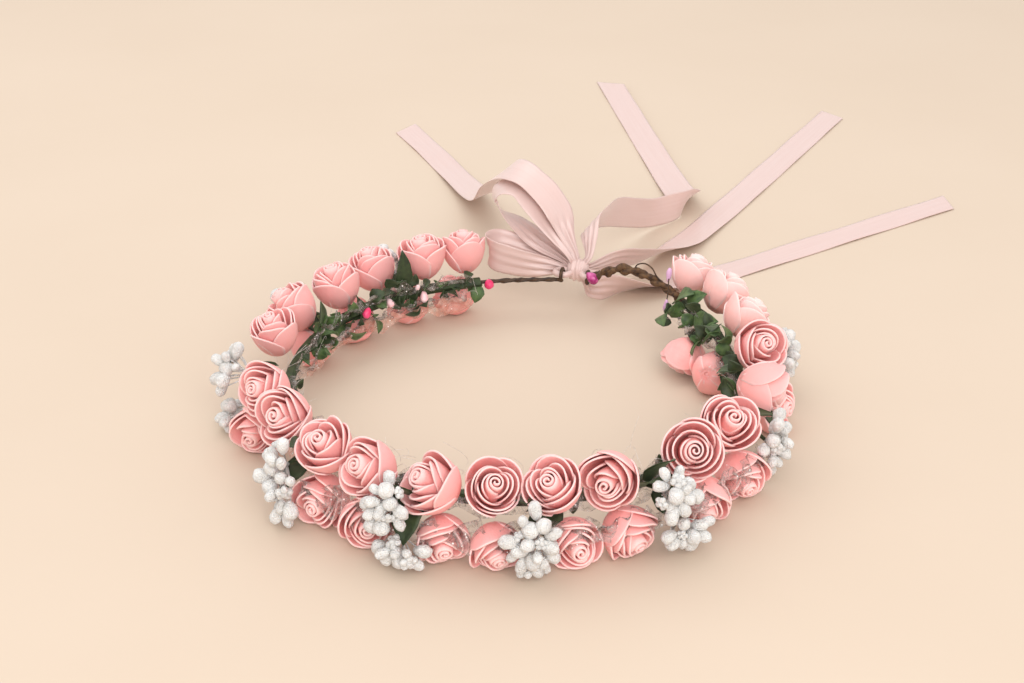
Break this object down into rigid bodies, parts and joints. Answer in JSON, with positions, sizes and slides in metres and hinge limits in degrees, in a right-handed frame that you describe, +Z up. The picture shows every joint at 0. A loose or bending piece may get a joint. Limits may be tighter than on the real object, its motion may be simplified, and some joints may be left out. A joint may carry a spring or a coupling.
{
  "type": "flower crown",
  "caption": "Wire hair wreath dressed with pink foam roses, white stamen sprays and leaves, open at the back and tied there with a satin ribbon bow with long tails.",
  "frame": {"origin": "middle of the whole object's box at table level, between the hoop and the ends of the ribbon tails", "axes": "+Z up from the table, +Y from the hoop towards the bow and its tails, +X to the right seen from the front of the crown"},
  "size_m": [0.3384, 0.5262, 0.0586],
  "materials": {
    "wire": "dull brown wire",
    "tape": "waxed green floral tape",
    "twine": "twisted brown paper twine",
    "foam": "matte pink foam petals",
    "stamen": "frosted white beads on thin wires",
    "leaf": "stiffened dark green cloth",
    "satin": "blush satin ribbon"
  },
  "bodies": {
    "crown": {"frame_wire": "wire", "tape_wrap": "tape", "left_arm_twine": "twine", "right_arm_twine": "twine", "rose_top_01": "foam", "rose_top_02": "foam", "rose_top_03": "foam", "rose_top_04": "foam", "rose_top_05": "foam", "rose_top_06": "foam", "rose_top_07": "foam", "rose_top_08": "foam", "rose_top_09": "foam", "rose_top_10": "foam", "rose_top_11": "foam", "rose_top_12": "foam", "rose_top_13": "foam", "rose_top_14": "foam", "rose_top_15": "foam", "rose_top_16": "foam", "rose_top_17": "foam", "rose_top_18": "foam", "rose_top_19": "foam", "rose_top_20": "foam", "rose_top_21": "foam", "rose_bottom_01": "foam", "rose_bottom_02": "foam", "rose_bottom_03": "foam", "rose_bottom_04": "foam", "rose_bottom_05": "foam", "rose_bottom_06": "foam", "rose_bottom_07": "foam", "rose_bottom_08": "foam", "rose_bottom_09": "foam", "rose_bottom_10": "foam", "rose_bottom_11": "foam", "rose_bottom_12": "foam", "rose_bottom_13": "foam", "stamen_spray_01": "stamen", "stamen_spray_02": "stamen", "stamen_spray_03": "stamen", "stamen_spray_04": "stamen", "stamen_spray_05": "stamen", "stamen_spray_06": "stamen", "stamen_spray_07": "stamen", "stamen_spray_08": "stamen", "stamen_spray_09": "stamen", "stamen_spray_10": "stamen", "stamen_spray_11": "stamen", "stamen_spray_12": "stamen", "leaf_01": "leaf", "leaf_02": "leaf", "leaf_03": "leaf"},
    "bow": {"bow_knot": "satin", "bow_loop_left": "satin", "bow_loop_up": "satin", "ribbon_tail_left": "satin", "ribbon_tail_up": "satin", "ribbon_tail_back": "satin", "ribbon_tail_right": "satin"}
  },
  "joints": [
    {"name": "bow_swing", "type": "hinge", "parent": "crown", "child": "bow", "pos_m": [-0.0304, -0.06425, 0.0205], "axis": [0.969, -0.247, 0], "range_deg": [0, 90]}
  ]
}
